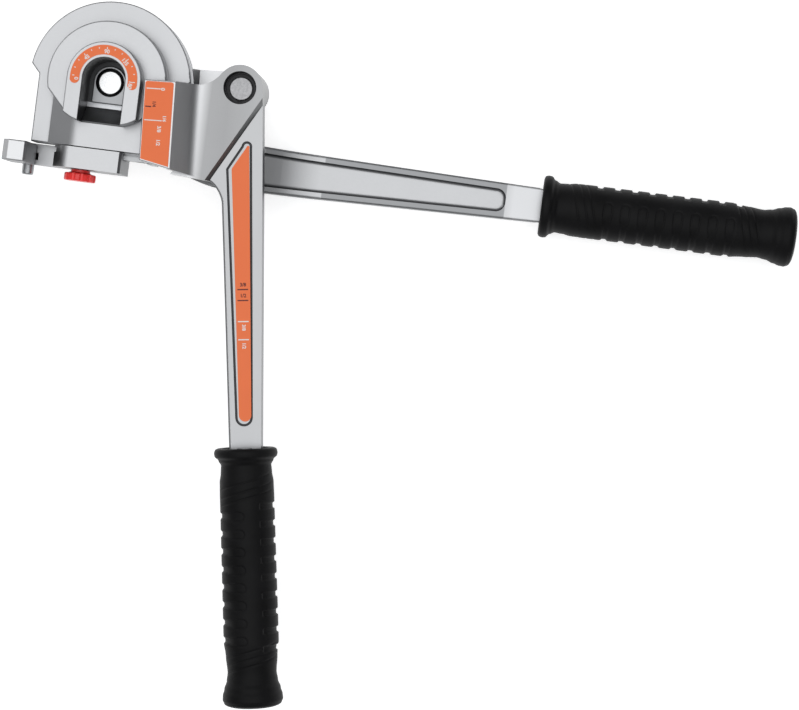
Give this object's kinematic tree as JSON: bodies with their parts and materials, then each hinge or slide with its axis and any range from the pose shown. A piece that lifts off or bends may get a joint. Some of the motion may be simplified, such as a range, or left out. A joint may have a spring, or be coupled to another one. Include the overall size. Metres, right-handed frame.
{
  "type": "manual tube bender",
  "caption": "Hand lever bender for small copper tube: stepped grooved former on a fixed handle, swinging shoe on a second handle, sliding tube hook.",
  "frame": {"origin": "on the bend's pivot axis, at the former's flat back face", "axes": "+Z along the pivot axis towards the front, +X along the fixed handle to its grip, +Y to the top of the former"},
  "size_m": [0.4896, 0.4217, 0.0809],
  "materials": {
    "cast_aluminium": "satin sand-cast aluminium, machined flat faces",
    "bright_steel": "turned and zinc-plated",
    "blackened_steel": "black oxide",
    "bronze": "oiled bearing bronze",
    "rail_steel": "ground bar",
    "black_rubber": "moulded, semi-gloss",
    "orange_label": "printed vinyl film, white lines",
    "red_plastic": "moulded"
  },
  "bodies": {
    "frame": {"former": "cast_aluminium", "former_step": "cast_aluminium", "former_land": "cast_aluminium", "handle_web": "cast_aluminium", "degree_label": "orange_label", "pivot_pin": "bright_steel", "pivot_washer": "bright_steel", "pivot_ring": "blackened_steel", "fixed_handle": "cast_aluminium", "handle_bolts": "blackened_steel", "fixed_grip": "black_rubber", "hook_rail": "rail_steel", "rail_screws": "blackened_steel"},
    "link": {"link_arm": "cast_aluminium", "pivot_bush": "bronze", "handle_pin": "bright_steel", "handle_washer": "blackened_steel", "handle_circlip": "blackened_steel"},
    "forming_handle": {"forming_handle": "cast_aluminium", "forming_grip": "black_rubber", "handle_label": "orange_label", "bending_shoe": "cast_aluminium", "shoe_arm": "cast_aluminium", "shoe_boss": "cast_aluminium", "handle_bush": "bronze", "shoe_label": "orange_label", "shoe_screws": "blackened_steel"},
    "hook_carriage": {"hook_carriage": "cast_aluminium", "hinge_pin": "bright_steel"},
    "hook_jaw": {"hook_jaw": "cast_aluminium"},
    "pressure_pad": {"pressure_pad": "bronze"},
    "lock_knob": {"lock_screw": "bright_steel", "lock_knob": "red_plastic"}
  },
  "joints": [
    {"name": "bend_swing", "type": "hinge", "parent": "frame", "child": "link", "pos_m": [0, 0, 0], "axis": [0, 0, 1], "range_deg": [-3, 177]},
    {"name": "handle_pivot", "type": "hinge", "parent": "link", "child": "forming_handle", "pos_m": [0.0817, 0.0058, 0], "axis": [0, 0, 1], "range_deg": [0, 55]},
    {"name": "hook_slide", "type": "slide", "parent": "frame", "child": "hook_carriage", "axis": [1, 0, 0], "range_m": [-0.0127, 0.0143]},
    {"name": "jaw_hinge", "type": "hinge", "parent": "hook_carriage", "child": "hook_jaw", "pos_m": [-0.0477, -0.05, 0], "axis": [0, -1, 0], "range_deg": [0, 100]},
    {"name": "screw_travel", "type": "slide", "parent": "hook_carriage", "child": "pressure_pad", "axis": [0, -1, 0], "range_m": [0, 0.002]},
    {"name": "knob_turn", "type": "hinge", "parent": "pressure_pad", "child": "lock_knob", "pos_m": [-0.0123, -0.058, 0.013], "axis": [0, -1, 0], "range_deg": [0, 720]}
  ],
  "couplings": [
    {"joint": "screw_travel", "follows": "knob_turn", "m_per_rad": 0.000159}
  ]
}
